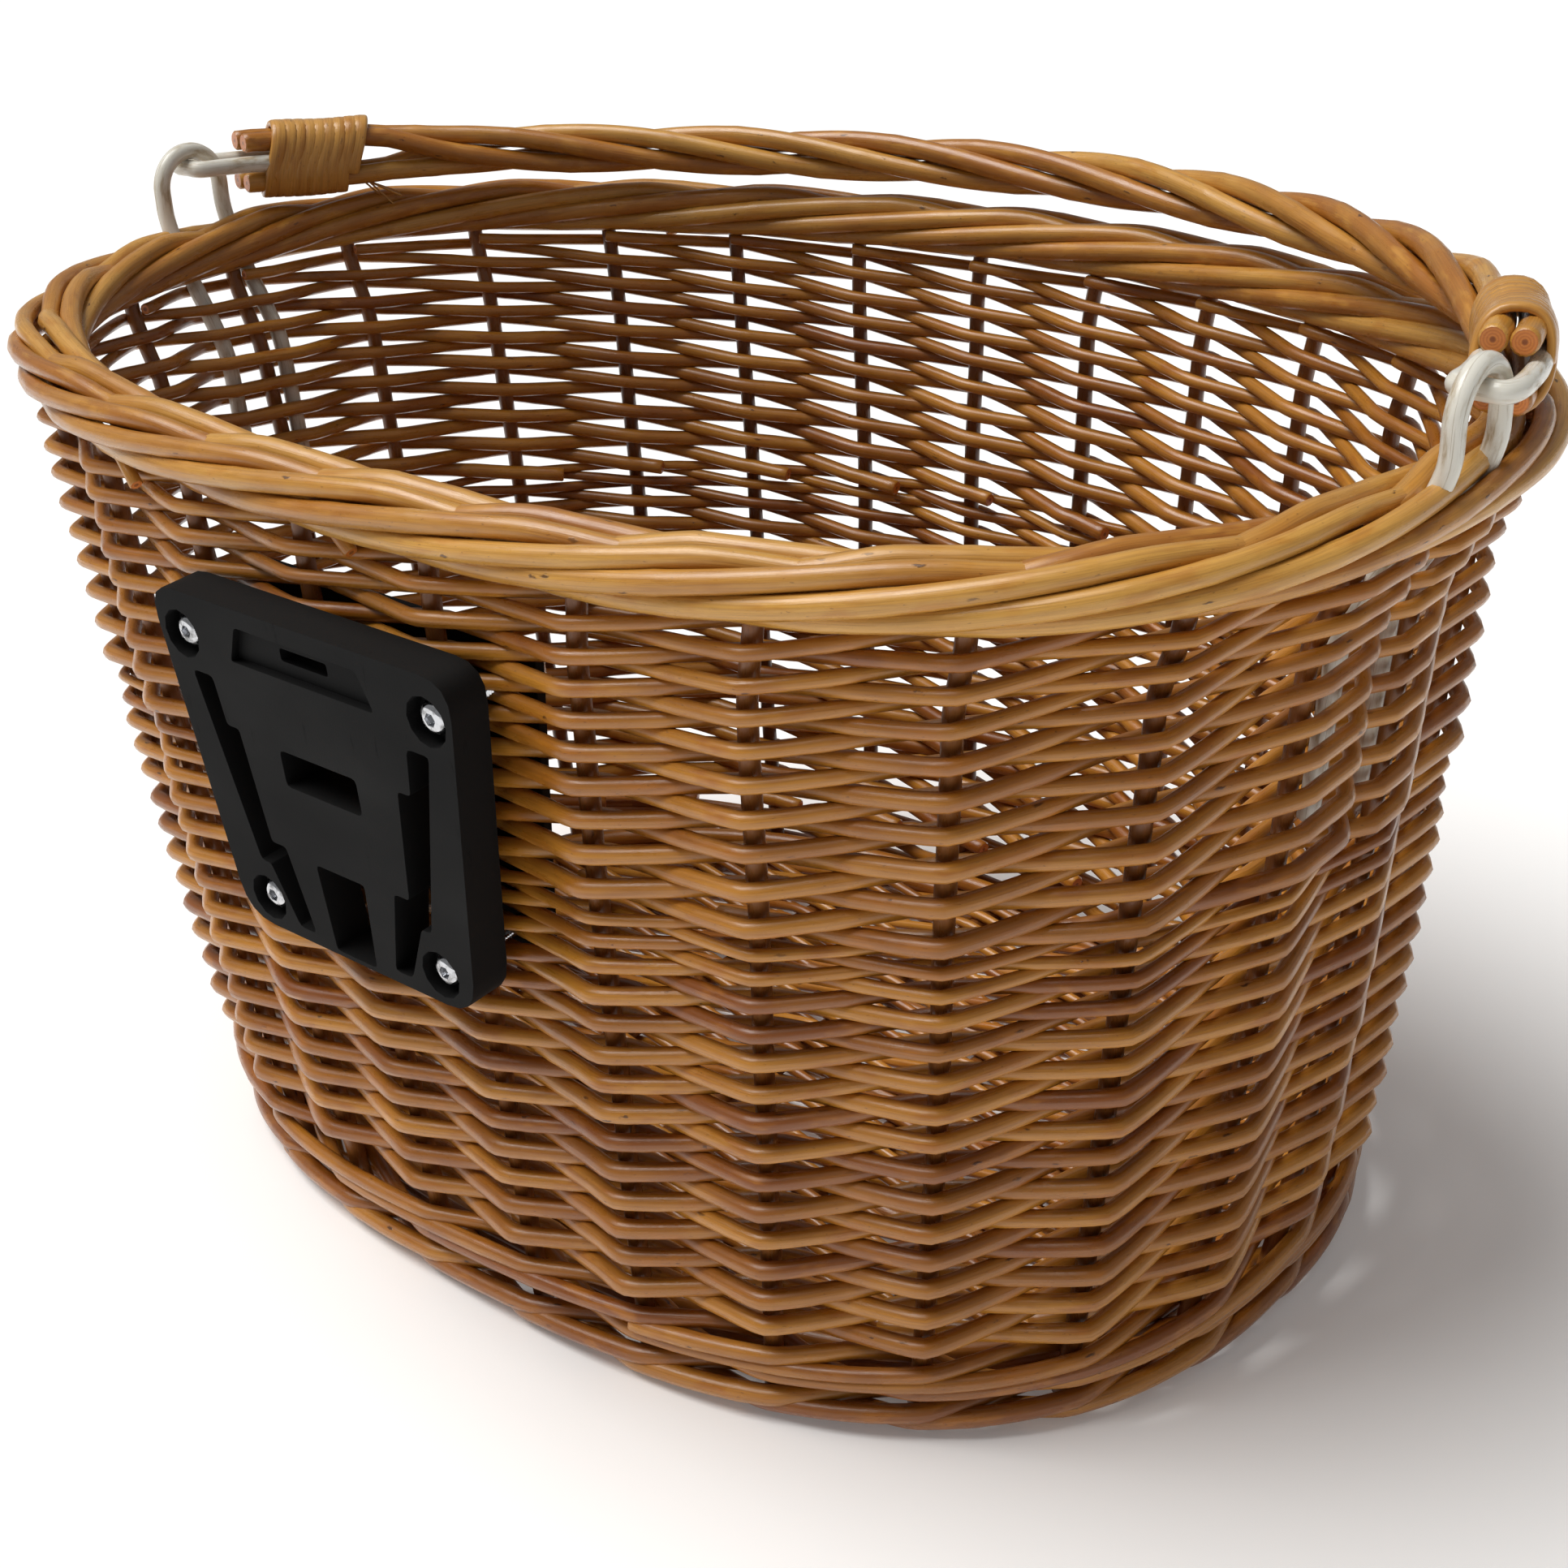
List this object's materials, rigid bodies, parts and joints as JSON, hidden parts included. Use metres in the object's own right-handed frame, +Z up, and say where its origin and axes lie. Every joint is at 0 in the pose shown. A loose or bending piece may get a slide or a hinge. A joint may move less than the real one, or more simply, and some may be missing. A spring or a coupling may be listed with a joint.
{
  "type": "wicker handlebar basket",
  "caption": "Woven willow basket with a roped swing handle on wire hinges and a quick-release mounting plate on its front.",
  "frame": {"origin": "on the floor under the middle of the whole object's box", "axes": "+X along the basket, +Y away from the mounting plate, +Z up"},
  "size_m": [0.4544, 0.3254, 0.279],
  "materials": {
    "willow": "varnished wicker rods",
    "border_willow": "varnished wicker rods, lighter",
    "stake_willow": "dark steamed willow",
    "skein": "split willow skein, varnished",
    "coated_wire": "off-white plastic coating over wire, satin",
    "black_plastic": "moulded, fine texture",
    "steel": "bright zinc plated"
  },
  "bodies": {
    "basket": {"backing_plate": "black_plastic", "base_cross_stick_1": "stake_willow", "base_cross_stick_2": "stake_willow", "base_cross_stick_3": "stake_willow", "base_cross_stick_4": "stake_willow", "base_cross_stick_5": "stake_willow", "base_long_stick_1": "stake_willow", "base_long_stick_2": "stake_willow", "base_long_stick_3": "stake_willow", "base_weave": "willow", "foot_wale": "willow", "left_hinge_hoop": "coated_wire", "lower_weave": "willow", "mounting_plate": "black_plastic", "plate_nut_1": "steel", "plate_nut_2": "steel", "plate_nut_3": "steel", "plate_nut_4": "steel", "plate_screw_1": "steel", "plate_screw_2": "steel", "plate_screw_3": "steel", "plate_screw_4": "steel", "right_hinge_hoop": "coated_wire", "stake_01": "stake_willow", "stake_02": "stake_willow", "stake_03": "stake_willow", "stake_04": "stake_willow", "stake_05": "stake_willow", "stake_06": "stake_willow", "stake_07": "stake_willow", "stake_08": "stake_willow", "stake_09": "stake_willow", "stake_10": "stake_willow", "stake_11": "stake_willow", "stake_12": "stake_willow", "stake_13": "stake_willow", "stake_14": "stake_willow", "stake_15": "stake_willow", "stake_16": "stake_willow", "stake_17": "stake_willow", "stake_18": "stake_willow", "stake_19": "stake_willow", "stake_20": "stake_willow", "stake_21": "stake_willow", "stake_22": "stake_willow", "stake_23": "stake_willow", "stake_24": "stake_willow", "stake_25": "stake_willow", "stake_26": "stake_willow", "top_border": "border_willow", "upper_weave": "willow"},
    "handle": {"handle_rod_1": "border_willow", "handle_rod_2": "border_willow", "handle_rod_3": "border_willow", "handle_rod_4": "border_willow", "left_handle_binding": "skein", "left_handle_staple": "coated_wire", "right_handle_binding": "skein", "right_handle_staple": "coated_wire"}
  },
  "joints": [
    {"name": "handle_swing", "type": "hinge", "parent": "basket", "child": "handle", "pos_m": [0, -0.01672, 0.2679], "axis": [1, 0, 0], "range_deg": [0, 185]}
  ]
}
